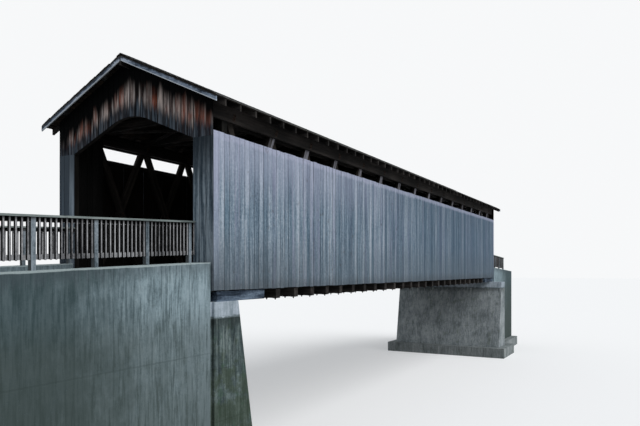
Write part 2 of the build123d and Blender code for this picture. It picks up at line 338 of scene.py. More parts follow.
@dataclass(frozen=True)
class Timber(Finish):
    """Weathered timber with fibres, checks, knots, streaks and a tone for each board."""

    dark: Colour
    middle: Colour
    light: Colour
    grain: Axis = Axis.Z
    turn: float = 0.0
    by_board: bool = True
    fibre: float = 16.0
    stain: Colour = paint(44, 46, 48)
    stained: float = 0.5
    spread: float = 1.0
    mottled: float = 0.35
    across: int = 0
    joint: float = 0.05
    jointed: float = 0.75
    depth: float = 0.004
    seam: ClassVar[Colour] = (0.1, 0.11, 0.12, 1.0)

    def spot(self, graph: Graph) -> Spot:
        """The place, stretched along the fibres and moved apart from board to board."""
        place = graph.wire("ShaderNodeTexCoord", output="Object")
        moved = place
        if self.turn:
            moved = graph.wire("ShaderNodeMapping", {"Vector": place, "Rotation": (self.turn, 0.0, 0.0)})
        if self.by_board:
            tone = graph.attribute("tone", "Fac")
            moved = graph.vector("ADD", moved, graph.join(tone * 31.0, tone * 17.0, tone * 23.0))
        else:
            tone = (graph.noise(place, 0.9, 0.0) - 0.5) * 1.6 + 0.5
        return Spot(graph, place, graph.vector("MULTIPLY", moved, self.grain.value), tone)

    def recipe(self, graph: Graph) -> Layers:
        """Layer tone, bands, fibres, streaks, checks, knots and dark joints."""
        at = self.spot(graph)
        fibres = at.streak(self.fibre * 3.4, 6.0, 0.72)
        bands = at.streak(self.fibre * 0.55, 4.0, 0.62)
        checks = at.streak(self.fibre * 5.5, 2.0, 0.5).ramp(0.36, 0.26)
        streaks = at.streak(self.fibre * 1.1, 4.0, 0.7).ramp(0.54, 0.72)
        knots = graph.wire("ShaderNodeTexVoronoi", {"Vector": at.along, "Scale": self.fibre * 0.22},
                           "Distance").ramp(0.085, 0.045)
        value = (at.tone - 0.5) * (0.62 * self.spread) + (bands - 0.5) * (1.7 * self.spread) + (fibres - 0.5) * 1.2
        value = value + (at.cloud(14.0, 5.0, 0.8) - 0.5) * self.mottled + 0.5
        colour = graph.gradient(value, ((0.1, self.dark), (0.5, self.middle), (0.9, self.light)))
        colour = self.weather(at, colour.coated(
            (streaks * self.stained, self.stain), (checks * 0.65, self.stain), (knots * 0.6, self.stain)))
        height = fibres * 0.7 + bands * 0.3 - checks * 0.9 + knots * 0.3
        if self.by_board:
            edge = at.board()[self.across].absolute() + (bands - 0.5) * self.joint
            edges = edge.ramp(0.5 - self.joint, 0.5 - self.joint * 0.35)
            edges = edges * (0.45 + at.cloud(0.8, 2.0).ramp(0.4, 0.62) * 0.55)
            colour = (edges * self.jointed).mixed(colour, self.seam, "MULTIPLY")
            height = height - edges
        return colour, 0.72 + fibres * 0.2, height, self.depth

    def weather(self, at: Spot, colour: Wire) -> Wire:
        """Weathering by place; none on plain timber."""
        return colour


def backed(distance: Wire, back: float, colour: Wire) -> Wire:
    """The colour on the outer face, and dark brown where the distance is less than the back's: partly the inside
    wood's own colour, partly painted shade.
    """
    # Painted shade on the inner faces: dark brown standing in for the dim inside.
    skin, sheltered_and_shaded = 0.002, paint(24, 21, 19)
    return distance.absolute().ramp(back + skin, back - skin).mixed(colour, sheltered_and_shaded)


@dataclass(frozen=True)
class SidingTimber(Timber):
    """Siding boards: paler under the eaves and at the corners, browner at their feet, darker and bluer towards the
    far end, with painted shade on the inner face.
    """

    low: float = 4.836
    high: float = 8.518
    end: float = 13.925
    pale: Colour = paint(183, 187, 211)
    soil: Colour = paint(87, 97, 103)
    feet: Colour = paint(70, 75, 79)
    drip: Colour = paint(76, 90, 106)
    rust: Colour = paint(58, 46, 42)
    cool: Colour = paint(60, 82, 102)
    lilac: Colour = paint(136, 136, 164)
    steel: Colour = paint(82, 112, 130)

    def weather(self, at: Spot, colour: Wire) -> Wire:
        """Layer hues, a darker far end, soiled feet, drips, pale edges and painted shade on the inner face."""
        x, y, z = at.axes()
        low, high, end = self.low, self.high, self.end
        patches = at.streak(9.0, 4.0, 0.65)
        ragged = (at.streak(7.0) - 0.5) * 1.3
        level = z + ragged
        drips = at.streak(40.0).ramp(0.5, 0.62) * level.ramp(high - 1.5, high - 0.2)
        corner = (y.absolute() + ragged * 0.05).ramp(end - 0.27, end - 0.16) * level.ramp(4.4, 7.4)
        specks = at.cloud(7.0, 2.0, 0.6).ramp(0.62, 0.7) * at.cloud(1.1, 1.0).ramp(0.48, 0.6)
        return backed(x, SIDING_BACK, colour.coated(
            (at.drawn(5.3).ramp(0.5, 0.85) * patches.ramp(0.42, 0.58) * 0.36, self.lilac),
            (at.drawn(9.1).ramp(0.5, 0.85) * patches.ramp(0.56, 0.4) * 0.4, self.steel),
            # Darker and bluer towards the far end.
            (y.ramp(-13.0, 8.0) * 0.6, self.cool),
            (level.ramp(low + 1.9, low + 0.3) * 0.4, self.soil),
            ((z + ragged * 0.5).ramp(low + 0.4, low + 0.02) * 0.45, self.feet),
            (level.ramp(low + 1.6, low + 0.1) * y.ramp(-8.0, -12.5) * 0.3, self.feet),
            (drips * 0.42, self.drip),
            (level.ramp(high - 1.9, high - 0.1) * y.ramp(0.0, -11.0) * 0.42, self.pale),
            ((z + ragged * 0.16).ramp(high - 0.2, high - 0.09) * 0.5, self.pale),
            (corner * 0.46, self.pale),
            (specks * 0.4, self.rust)))


@dataclass(frozen=True)
class JambTimber(Timber):
    """Boards beside the opening: painted shade under the gable and on the back face, painted light on the left jamb,
    a pale edge along the opening and dark feet.
    """

    pale: Colour = paint(112, 126, 140)
    feet: Colour = paint(62, 66, 70)
    shade: Colour = paint(24, 31, 38)

    def weather(self, at: Spot, colour: Wire) -> Wire:
        """Layer the edge, the feet, painted shade at the top and painted light on the left jamb."""
        x, y, z = at.axes()
        ragged = at.streak(7.0) - 0.5
        edge = (x.absolute() + ragged * 0.02).ramp(OPENING_HALF + 0.03, OPENING_HALF + 0.018)
        return backed(y, PORTAL_BACK, colour.coated(
            (edge * 0.7, self.pale),
            ((z + ragged * 1.6).ramp(6.3, 5.0) * 0.3, self.feet),
            # Painted shade under the gable.
            ((z + ragged * 0.9).ramp(HEAD_CORNER - 1.4, HEAD_CORNER) * 0.84, self.shade),
            # Painted light: the left jamb is made paler.
            (x.ramp(0.5, -0.5) * 0.3, self.pale)))


@dataclass(frozen=True)
class GableTimber(Timber):
    """Gable boards: brown and red in the roof's shelter, blue-grey along the head, with black streaks, painted
    shadow under the roof and painted shade on the back face.
    """

    red: Colour = paint(156, 84, 62)
    bare: Colour = paint(230, 218, 214)
    ash: Colour = paint(18, 25, 34)
    ash_light: Colour = paint(90, 102, 114)
    # Black of the streaks, and of the painted shadow under the roof.
    soot_and_shade: Colour = paint(4, 5, 6)
    shine: ClassVar[float] = 0.03

    def weather(self, at: Spot, colour: Wire) -> Wire:
        """Layer red boards, bare strips, black streaks, ash along the head and the painted shadow under the roof."""
        x, y, z = at.axes()
        side = x.absolute()
        head = HEAD_CORNER + (OPENING_HALF - side).most(0.0).least(OPENING_HALF - 0.35) * HEAD_RISE
        roof = ROOF_APEX - side * ROOF_SLOPE
        ragged = (at.streak(9.0, 4.0, 0.6) - 0.5) * 1.5
        fine = at.streak(21.0, 4.0, 0.65)
        warm = (at.cloud(1.5, 2.0) - 0.5) * 1.6 + at.drawn(7.3)
        reds = warm.ramp(0.35, 0.8) * fine.ramp(0.36, 0.52) * (roof - z + ragged * 0.4).ramp(1.3, 0.8)
        strip = (at.board()[0] + (fine - 0.5) * 0.6).ramp(0.14, 0.32) * at.drawn(13.7).ramp(0.1, 0.6)
        bare = strip.most(fine.ramp(0.56, 0.66) * 0.7)
        ash = at.streak(16.0, 4.0, 0.7).ramp(0.44, 0.66).mixed(self.ash, self.ash_light)
        # Painted shadow of the roof's overhang, reaching lower on the left.
        shade = (roof - z + ragged * 0.4 + (at.tone - 0.5) * 0.16 - x.ramp(1.4, -1.4) * 0.22).ramp(0.8, 0.3)
        return backed(y, PORTAL_BACK, colour.coated(
            (reds * 0.8, self.red),
            (bare * (0.84 - reds * 0.4), self.bare),
            (at.streak(19.0, 3.0, 0.6).ramp(0.48, 0.38) * 0.6, self.soot_and_shade),
            ((z - head - ragged * 0.4).ramp(0.5, 0.16) * 0.95, ash),
            (shade, self.soot_and_shade)))


@dataclass(frozen=True)
class BargeTimber(Timber):
    """Barge boards: dark in damp patches, with a painted shadow of the shingles' edge along the top and a painted
    highlight along the lower edge.
    """

    board: float = 0.115
    # Dark of the damp patches, and of the painted shadow under the shingles.
    wet_and_shadow: Colour = paint(24, 28, 34)
    # Pale of the painted highlight on the lower edge.
    pale_rim: Colour = paint(214, 222, 230)

    def weather(self, at: Spot, colour: Wire) -> Wire:
        """Layer the damp patches, the painted shadow at the upper edge and the painted highlight at the lower one.
        """
        x, _, z = at.axes()
        ragged = (at.streak(6.0, 4.0, 0.65) - 0.5) * 1.1 + (at.cloud(14.0) - 0.5) * 0.8
        down = (ROOF_APEX - x.absolute() * ROOF_SLOPE - z) / self.board
        flat = at.graph.vector("MULTIPLY", at.place, (1.0, 1.0, 2.0))
        return colour.coated(
            (at.graph.noise(flat, 6.0, 4.0, 0.7).ramp(0.5, 0.64) * 0.5, self.wet_and_shadow),
            # Painted shadow of the shingles' edge.
            ((down + ragged + x.ramp(-0.4, 0.4) * 0.3).ramp(0.66, 0.4) * 0.86, self.wet_and_shadow),
            # Painted highlight along the lower edge.
            ((down + ragged * 0.12).ramp(0.78, 0.84) * 0.8, self.pale_rim))


@dataclass(frozen=True)
class ShingleTimber(Timber):
    """Split shingles: worn pale at the butt, dark above where the next course drips, with moss in patches."""

    butt: float = 0.5
    shown: float = 0.39
    pale_rim: Colour = paint(104, 104, 101)
    damp: Colour = paint(26, 28, 28)
    moss: Colour = paint(58, 64, 44)

    def weather(self, at: Spot, colour: Wire) -> Wire:
        """Layer damp, wear and moss."""
        up = (self.butt - at.board()[1]) / self.shown + (at.streak(26.0, 3.0, 0.6) - 0.5) * 0.2
        growth = at.cloud(0.7, 4.0, 0.6).ramp(0.5, 0.68) * at.cloud(16.0, 3.0, 0.6).ramp(0.46, 0.6)
        return colour.coated((up.ramp(0.5, 1.0) * 0.62, self.damp), (up.ramp(0.16, 0.05) * 0.4, self.pale_rim),
                             (growth * 0.5, self.moss))


@dataclass(frozen=True)
class RailTimber(Timber):
    """Railing timber: its faces weathered pale, with painted shade on its sides between them, on the rail and all
    just under the cap, and along the pickets' edges.
    """

    inner: float = 2.09
    face: float = 2.128
    first: float = 14.104
    pitch: float = 0.11
    edged: float = 0.0
    shade: Colour = paint(28, 26, 27)
    shine: ClassVar[float] = 0.03

    def weather(self, at: Spot, colour: Wire) -> Wire:
        """Paint shade on the sides, on the rail under the cap, just under the cap and along the pickets' edges."""
        x, y, z = at.axes()
        out, away = x.absolute(), y.absolute()
        inner, face = self.inner, self.face
        drop = RAIL_TOP - (away - PORTAL) * APPROACH_FALL - z
        sides = out.ramp(inner + 0.0005, inner + 0.0025) * out.ramp(face - 0.0005, face - 0.0025)
        rail = out.ramp(inner + 0.002, inner + 0.0005) * drop.ramp(0.1, 0.095)
        under = drop.ramp(0.11, 0.02) * 0.85
        middle = (((away - self.first) / self.pitch + 0.5).fraction() - 0.5).absolute() * self.pitch
        ragged = (at.streak(30.0) - 0.5) * 0.012
        edges = (middle + ragged).ramp(0.0092, 0.0155) * out.ramp(face - 0.0005, face - 0.0001)
        # Painted shade: sides, rail, just under the cap and the pickets' edges.
        return sides.most(rail).most(under).most(edges * self.edged).mixed(colour, self.shade)


@dataclass(frozen=True)
class BraceTimber(Timber):
    """Truss timber: dark brown, partly its own colour and partly painted shade inside, silvered where it shows in
    the open band.
    """

    outer: float = 2.466
    band: float = 8.5
    silver: Colour = paint(150, 150, 160)

    def weather(self, at: Spot, colour: Wire) -> Wire:
        """Silver the outer faces in the open band."""
        x, _, z = at.axes()
        outer, band = self.outer, self.band
        shown = x.absolute().ramp(outer - 0.002, outer + 0.002) * z.ramp(band - 0.1, band + 0.05)
        return (shown * at.streak(14.0, 4.0, 0.65).ramp(0.36, 0.6) * 0.8).mixed(colour, self.silver)


@dataclass(frozen=True)
class Concrete(Finish):
    """Cast concrete with form lines, runs, blotches and moss."""

    dark: Colour
    middle: Colour
    light: Colour
    moss: Colour = paint(58, 70, 52)
    mossy: float = 0.3
    wet_below: float = 0.0
    lines: float = 0.45
    cloudy: float = 1.2
    lined: float = 1.3
    runny: float = 0.5
    lift: float = 1.22
    start: float = -0.03
    depth: float = 0.006
    form_board: ClassVar[float] = 0.19

    def recipe(self, graph: Graph) -> Layers:
        """Layer blotches, grit, vertical runs, form lines and moss."""
        place = graph.wire("ShaderNodeTexCoord", output="Object")
        at = Spot(graph, place, graph.vector("MULTIPLY", place, (1.0, 1.0, 0.09)))
        x, y, z = at.axes()
        runs, fine_runs = at.streak(4.5, 5.0, 0.62), at.streak(17.0, 4.0, 0.6)
        cloud, grit = at.cloud(1.3, 5.0, 0.6), at.cloud(55.0, 4.0, 0.7)
        value = (cloud - 0.5) * self.cloudy + (runs - 0.5) + (grit - 0.5) * 0.5 + (fine_runs - 0.5) * self.lined
        value = value + 0.5 + (at.cloud(13.0, 4.0, 0.75) - 0.5) * 0.7
        colour = graph.gradient(value, ((0.15, self.dark), (0.5, self.middle), (0.85, self.light)))
        boards = (x + y) / self.form_board
        seams = (boards.fraction() - 0.5).absolute().ramp(0.476, 0.497) * self.lines
        tone = graph.noise(graph.join(boards.floor(), 0.0, 0.0), 0.77, 0.0).ramp(0.42, 0.62)
        lifts = ((z - self.start) / self.lift - 0.5).fraction()
        lift_seams = (lifts - 0.5).absolute().ramp(0.488, 0.498)
        growth = at.cloud(2.3, 6.0, 0.68) + (self.wet_below - z).ramp(0.0, 2.5) * 0.2
        moss = growth.ramp(0.54, 0.68) * self.mossy
        pits = at.cloud(26.0, 2.0, 0.5).ramp(0.36, 0.28)
        colour = self.weather(at, colour.coated(
            ((runs * 0.6 + fine_runs * 0.4).ramp(0.55, 0.68) * self.runny, self.dark),
            (tone * 0.22 * self.lines / 0.45, self.dark),
            (seams * 0.7, self.dark),
            (lift_seams * 0.4, self.dark),
            (moss, self.moss)))
        height = grit * 0.3 + cloud * 0.3 - seams * 0.5 - lift_seams * 0.4 - pits * 0.6 + moss * 0.4
        return (pits * 0.3).mixed(colour, self.dark), 0.82 + grit * 0.15, height, self.depth

    def weather(self, at: Spot, colour: Wire) -> Wire:
        """Staining by place; none on plain concrete."""
        return colour


@dataclass(frozen=True)
class WallConcrete(Concrete):
    """Wing walls: a pale top edge, darker and greener away from the portal, and soil stains below."""

    ground: float = 4.66
    edge: Colour = paint(178, 192, 194)
    dark_green: Colour = paint(46, 62, 64)
    under: Colour = paint(70, 78, 84)
    pale: Colour = paint(158, 176, 186)
    soil: Colour = paint(66, 74, 70)

    def weather(self, at: Spot, colour: Wire) -> Wire:
        """Layer the darker green away from the portal, drips, soil and the pale top edge."""
        _, y, z = at.axes()
        away = y.absolute()
        cloud = at.cloud(2.1, 5.0, 0.62) - 0.5
        drop = WALL_TOP - (away - PORTAL) * APPROACH_FALL - z
        runs = at.streak(9.0, 4.0, 0.6)
        drips = runs.ramp(0.5, 0.64) * (drop + (runs - 0.5) * 1.5).ramp(0.6, 0.05)
        return colour.coated(
            ((away + cloud * 2.0).ramp(15.2, 14.1) * runs.ramp(0.4, 0.6) * 0.5, self.pale),
            # Darker and greener away from the portal.
            ((away + cloud * 3.0).ramp(14.9, 18.3) * 0.82, self.dark_green),
            ((drop + (runs - 0.5) * 0.7).ramp(0.3, 0.06) * 0.42, self.under),
            (drips * 0.5, self.dark_green),
            ((z + cloud * 0.7).ramp(self.ground + 0.1, self.ground - 0.9) * 0.5, self.soil),
            ((z + cloud * 1.5).ramp(self.ground - 0.6, 0.8) * 0.4, self.soil),
            ((drop + cloud * 0.04).ramp(0.028, 0.01) * 0.7, self.edge))


@dataclass(frozen=True)
class SeatConcrete(Concrete):
    """Seat caps: newer and paler, stained where they meet the old wall."""

    stain: Colour = paint(72, 84, 84)

    def weather(self, at: Spot, colour: Wire) -> Wire:
        """Stain the lower edge in ragged patches."""
        ragged = (at.cloud(6.0, 5.0, 0.65) - 0.5) * 0.22
        return ((at.axes()[2] - SEAT_JOINT + ragged).ramp(0.07, 0.02) * 0.8).mixed(colour, self.stain)


@dataclass(frozen=True)
class OldConcrete(Concrete):
    """Old abutment walls: lime runs from the seat, dark wash at the top and moss lower down."""

    lime: Colour = paint(138, 150, 148)
    wash: Colour = paint(46, 54, 54)
    green: Colour = paint(58, 84, 66)

    def weather(self, at: Spot, colour: Wire) -> Wire:
        """Layer the wash, lime runs and green patches."""
        runs = at.streak(8.0, 4.0, 0.62)
        drop = SEAT_JOINT - at.axes()[2]
        wash = (drop + (at.cloud(5.0, 4.0) - 0.5) * 0.5).ramp(0.34, 0.02)
        lime = runs.ramp(0.56, 0.64) * (drop + (runs - 0.5) * 4.0).ramp(2.2, 0.2)
        return colour.coated((wash * 0.75, self.wash), (lime * 0.72, self.lime),
                             (at.cloud(3.1, 5.0, 0.65).ramp(0.56, 0.66) * 0.4, self.green))


@dataclass(frozen=True)
class Iron(Finish):
    """Old dark iron with rust."""

    dark: Colour = paint(38, 34, 32)
    rust: Colour = paint(66, 50, 42)

    def recipe(self, graph: Graph) -> Layers:
        """Rust in patches over dark scale."""
        patches = graph.noise(graph.wire("ShaderNodeTexCoord", output="Object"), 40.0, 4.0, 0.6)
        return patches.ramp(0.42, 0.62).mixed(self.dark, self.rust), 0.6 + patches * 0.3, patches, 0.001


SIDING = SidingTimber(
    "siding_boards", paint(64, 84, 102), paint(124, 143, 159), paint(186, 197, 210), fibre=26.0,
    stain=paint(58, 72, 86), stained=0.55, spread=0.85, mottled=1.0, joint=0.06, jointed=0.52)
# Portal boards: a darker palette than the siding, as painted shade in the portal.
JAMB = JambTimber(
    "portal_boards", paint(22, 33, 43), paint(78, 93, 105), paint(150, 164, 176), fibre=20.0,
    stain=paint(20, 28, 36), spread=1.5)
GABLE = GableTimber(
    "gable_boards", paint(32, 26, 26), paint(126, 111, 108), paint(214, 198, 192), fibre=19.0,
    stain=paint(20, 17, 17), spread=1.4, joint=0.085, jointed=0.97)
# Shelter boards: near black, as painted shade inside the portals.
SHELTER_SHADE = Timber("shelter_boards", paint(6, 7, 7), paint(12, 12, 12), paint(22, 22, 22), stain=paint(5, 5, 5))
SHINGLE = ShingleTimber(
    "roof_shingles", paint(36, 37, 38), paint(61, 62, 62), paint(94, 94, 92), Axis.X, stain=paint(26, 27, 26),
    fibre=22.0, spread=0.75, joint=0.03)
RIDGE = Timber(
    "ridge_shingles", paint(38, 39, 39), paint(64, 65, 65), paint(94, 94, 92), Axis.X,
    stain=paint(26, 27, 26), fibre=22.0, spread=0.75, joint=0.03)
# Sheathing: dark brown, partly its own colour, partly painted shade under the roof.
SHEATHING = Timber(
    "sheathing_boards", paint(16, 13, 11), paint(30, 25, 21), paint(50, 42, 35), Axis.Y,
    stain=paint(12, 10, 9), across=1)
DECK = Timber("deck_planks", paint(48, 44, 40), paint(84, 78, 71), paint(122, 114, 104), Axis.X, across=1)
RUNNING = Timber("running_planks", paint(62, 57, 52), paint(100, 93, 85), paint(140, 131, 120), Axis.Y, across=1)

BARGE = BargeTimber(
    "barge_timber", paint(84, 98, 118), paint(142, 158, 180), paint(192, 204, 222), Axis.X, by_board=False,
    stain=paint(46, 52, 60))
# Frame timbers and braces: dark brown to near black, partly old timber's own colour, partly painted shade of the dim
# inside and the eaves.
LONG_TIMBER = Timber(
    "long_frame_timber", paint(14, 13, 13), paint(31, 29, 28), paint(60, 56, 54), Axis.Y, by_board=False,
    stain=paint(10, 10, 9))
CROSS_TIMBER = replace(
    LONG_TIMBER, name="cross_frame_timber", dark=paint(15, 14, 14), middle=paint(37, 35, 34),
    light=paint(66, 62, 60), grain=Axis.X)
UPRIGHT_TIMBER = replace(
    LONG_TIMBER, name="upright_frame_timber", dark=paint(9, 9, 9), middle=paint(18, 18, 17),
    light=paint(36, 35, 33), grain=Axis.Z, stain=paint(9, 9, 9))
MAIN_BRACE = BraceTimber(
    "main_brace_timber", paint(16, 15, 14), paint(39, 36, 34), paint(70, 65, 61),
    turn=math.atan(PANEL / CHORD_RISE), by_board=False, stain=paint(10, 9, 9))
COUNTER_BRACE = replace(MAIN_BRACE, name="counter_brace_timber", turn=-MAIN_BRACE.turn)
BOLSTER = Timber(
    "bolster_beams", paint(22, 31, 40), paint(57, 69, 84), paint(118, 135, 153), Axis.Y, by_board=False,
    stain=paint(26, 32, 40), spread=1.3, mottled=0.8)
# shade is painted shade on the railing's sides and edges.
PICKET = RailTimber(
    "railing_pickets", paint(82, 83, 86), paint(142, 142, 145), paint(184, 185, 188), by_board=False,
    stain=paint(50, 50, 51), stained=0.45, fibre=34.0, mottled=1.3, edged=0.95, shade=paint(8, 8, 9))
POST = RailTimber(
    "railing_posts", paint(62, 72, 79), paint(113, 124, 132), paint(150, 160, 169), by_board=False,
    stain=paint(46, 53, 58), fibre=34.0, mottled=1.7, inner=2.025, face=2.115, shade=paint(80, 84, 87))
RAIL_CAP = Timber(
    "railing_caps", paint(78, 86, 86), paint(118, 128, 127), paint(152, 161, 160), Axis.Y, by_board=False,
    stain=paint(52, 58, 58), stained=0.4)

WALL = WallConcrete(
    "side_walls", paint(92, 108, 114), paint(136, 155, 163), paint(164, 182, 190), mossy=0.14, cloudy=0.6,
    lined=2.0, wet_below=4.6, lift=2.4, start=4.62)
PALE_CONCRETE = SeatConcrete(
    "seat_concrete", paint(134, 147, 156), paint(169, 181, 192), paint(196, 206, 218), mossy=0.05, lines=0.3,
    runny=0.45)
OLD_CONCRETE = OldConcrete(
    "breast_walls", paint(44, 54, 56), paint(80, 93, 94), paint(124, 139, 138), mossy=0.6, wet_below=4.2)
FAR_CONCRETE = OldConcrete(
    "far_breast_walls", paint(108, 116, 120), paint(148, 156, 160), paint(180, 187, 191), mossy=0.22,
    lime=paint(190, 198, 200), wash=paint(84, 90, 92), green=paint(104, 116, 104))
FOOTING = Concrete(
    "footings", paint(62, 68, 66), paint(96, 103, 101), paint(128, 134, 132), mossy=0.4, wet_below=2.0)
FAR_FOOTING = Concrete("far_footings", paint(98, 105, 106), paint(134, 141, 143), paint(164, 170, 171))
IRON = Iron("old_iron")


# Pieces


def turned(u: Triple, v: Triple, w: Triple) -> Triple:
    """Euler turn that takes the local axes to the three given directions."""
    return tuple(Matrix((u, v, w)).transposed().to_euler())


def carried(name: str) -> tuple[Vector, Vector]:
    """Lowest and highest corner of one of the frame's nodes."""
    low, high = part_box(name)
    return Vector(low), Vector(high)


class Recipe:
    """A geometry node tree with named inputs, run once on an object of its own."""

    def __init__(self, name: str, inputs: dict[str, Sequence[str]]) -> None:
        """Make the tree and its inputs.

        Args:
            name: The tree's name.
            inputs: Names of inputs by socket kind, such as {"Float": ("Width", "Depth")}.
        """
        self.tree = bpy.data.node_groups.new(name, "GeometryNodeTree")
        self.graph = Graph(self.tree)
        for way in ("INPUT", "OUTPUT"):
            self.tree.interface.new_socket("Geometry", in_out=way, socket_type="NodeSocketGeometry")
        self.keys = {label: self.tree.interface.new_socket(label, in_out="INPUT", socket_type="NodeSocket" + kind)
                     .identifier for kind, labels in inputs.items() for label in labels}
        self.source = self.graph.node("NodeGroupInput")

    def input(self, label: str) -> Wire:
        """One of the tree's inputs."""
        return Wire(self.graph, next(s for s in self.source.outputs if s.name == label))

    def random(self, low: float, high: float, salt: int, key: Wire | None = None) -> Wire:
        """Random number for each item, or for each value of key."""
        inputs: dict[str, Any] = {"Min": low, "Max": high, "Seed": self.input("Seed") + salt}
        if key is not None:
            inputs["ID"] = key
        return self.graph.wire("FunctionNodeRandomValue", inputs, data_type="FLOAT")

    def rotation(self, euler: Wire) -> Wire:
        """A turn in the form that instances take."""
        return self.graph.wire("FunctionNodeEulerToRotation", {0: euler})

    def position(self) -> tuple[Wire, Wire, Wire]:
        """Where each vertex is."""
        return self.graph.split(self.graph.wire("GeometryNodeInputPosition"))

    def moved(self, geometry: Wire, **change: Wire) -> Wire:
        """The geometry with its vertices at a new Position or shifted by an Offset."""
        return self.graph.wire("GeometryNodeSetPosition", {"Geometry": geometry, **change})

    def placed(self, item: Wire, points: Wire, turn: Wire, **more: Wire) -> Wire:
        """The item at every point."""
        return self.graph.wire("GeometryNodeInstanceOnPoints",
                               {"Points": points, "Instance": item, "Rotation": self.rotation(turn), **more})

    def real(self, instances: Wire) -> Wire:
        """Instances made into plain geometry."""
        return self.graph.wire("GeometryNodeRealizeInstances", {"Geometry": instances})

    def close(self, geometry: Wire) -> None:
        """Give the geometry its finish and lead it out."""
        dressed = self.graph.wire("GeometryNodeSetMaterial",
                                  {"Geometry": geometry, "Material": self.input("Finish")})
        self.graph.node("NodeGroupOutput", {0: dressed})

    def run(self, name: str, values: dict[str, Any], points: Sequence[Triple] = ()) -> bpy.types.Object:
        """Run the tree and keep its result as a plain mesh.

        Args:
            name: Name of the new piece.
            values: The tree's inputs by name.
            points: Places handed to the tree as loose vertices.

        Returns:
            The new object.
        """
        mesh = bpy.data.meshes.new(name)
        mesh.from_pydata([tuple(p) for p in points], [], [])
        piece = bpy.data.objects.new(name, mesh)
        bpy.context.scene.collection.objects.link(piece)
        modifier = piece.modifiers.new("recipe", "NODES")
        modifier.node_group = self.tree
        for label, value in values.items():
            modifier[self.keys[label]] = value
        graph = bpy.context.evaluated_depsgraph_get()
        graph.update()
        plain = bpy.data.meshes.new_from_object(piece.evaluated_get(graph), preserve_all_data_layers=True,
                                                depsgraph=graph)
        piece.modifiers.clear()
        piece.data = plain
        plain.name = name
        return piece


class LaidBoards(Recipe):
    """Boards, planks or shingles laid in rows on a plane, each with its own tone and small errors."""

    def __init__(self, name: str = "laid_boards", extra: tuple[str, ...] = ()) -> None:
        """Build the tree: a grid of places, a board at each, trimmed to the field and then set in place."""
        super().__init__(name, {"Int": ("Columns", "Rows", "Board Columns", "Seed"), "Material": ("Finish",),
                                "Float": ("Column Step", "Row Step", "Chamfer", "Stagger", "Wander", "Warp") + extra,
                                "Vector": ("Board", "Field", "Lean", "Origin", "Turn")})
        g = self.graph
        wander = self.input("Wander")
        width, length, thickness = g.split(self.input("Board"))
        lean_u, lean_v, lean_w = g.split(self.input("Lean"))
        board = g.wire("GeometryNodeStoreNamedAttribute",
                       {"Geometry": self.unit_board(width, thickness), "Name": "board",
                        "Value": g.wire("GeometryNodeInputPosition")}, data_type="FLOAT_VECTOR", domain="POINT")
        laid = self.placed(board, self.places(wander), g.join(
            lean_u + self.random(-0.3, 0.3, 5) * wander, lean_v + self.random(-0.6, 0.6, 6) * wander,
            lean_w + self.random(-0.3, 0.3, 7) * wander), Scale=g.join(
            width - self.random(0.0, 1.2, 8) * wander, length - self.random(0.0, 0.5, 9) * wander,
            thickness * self.random(0.92, 1.08, 10)))
        toned = g.wire("GeometryNodeStoreNamedAttribute",
                       {"Geometry": laid, "Name": "tone", "Value": self.random(0.0, 1.0, 11)},
                       data_type="FLOAT", domain="INSTANCE")
        solid = self.real(toned)
        u, v, w = self.position()
        swell = (g.noise(g.wire("GeometryNodeInputPosition"), 0.9, 2.0) - 0.5) * self.input("Warp")
        field_u, field_v, _ = g.split(self.input("Field"))
        trimmed = self.moved(solid, Position=g.join(
            u.least(field_u / 2).most(field_u / -2), v.least(field_v / 2).most(field_v / -2), w + swell))
        self.close(self.shaped(g.wire("GeometryNodeTransform",
                                      {"Geometry": trimmed, "Translation": self.input("Origin"),
                                       "Rotation": self.rotation(self.input("Turn"))})))

    def places(self, wander: Wire) -> Wire:
        """A point for each board, its rows staggered, without those past the field's ends."""
        g = self.graph
        columns, rows = self.input("Columns"), self.input("Rows")
        step_u, step_v = self.input("Column Step"), self.input("Row Step")
        height = (rows - 1) * step_v
        grid = g.wire("GeometryNodeMeshGrid", {"Size X": (columns - 1) * step_u, "Size Y": height,
                                               "Vertices X": columns, "Vertices Y": rows})
        row = ((self.position()[1] + height / 2) / step_v + 0.5).floor()
        shift = self.random(-0.5, 0.5, 1, row) * self.input("Stagger") * step_u
        places = self.moved(grid, Offset=g.join(
            shift + self.random(-1.0, 1.0, 2) * wander, self.random(-1.0, 1.0, 3) * wander * 2.0,
            self.random(-0.5, 0.5, 4) * wander))
        outside = g.wire("FunctionNodeCompare",
                         {"A": self.position()[0].absolute(),
                          "B": g.split(self.input("Field"))[0] / 2 + step_u * 0.3},
                         data_type="FLOAT", operation="GREATER_THAN")
        return g.wire("GeometryNodeDeleteGeometry", {"Geometry": places, "Selection": outside}, domain="POINT")

    def unit_board(self, width: Wire, thickness: Wire) -> Wire:
        """A board one unit each way, its long edges chamfered where it has four columns."""
        g = self.graph
        board = g.wire("GeometryNodeMeshCube", {"Size": (1.0, 1.0, 1.0), "Vertices X": self.input("Board Columns"),
                                                "Vertices Y": 2, "Vertices Z": 2}, "Mesh")
        x, y, z = self.position()
        chamfer = self.input("Chamfer")
        edge = x.absolute().ramp(0.3, 0.45)
        side = (x * 1000.0).least(1.0).most(-1.0)
        inset = chamfer / width
        return self.moved(board, Position=g.join(side * (0.5 - inset + inset * edge), y,
                                                 z * (1.0 - edge * 2.0 * chamfer / thickness)))

    def shaped(self, geometry: Wire) -> Wire:
        """Last change of shape, in the bridge's frame; none here."""
        return geometry


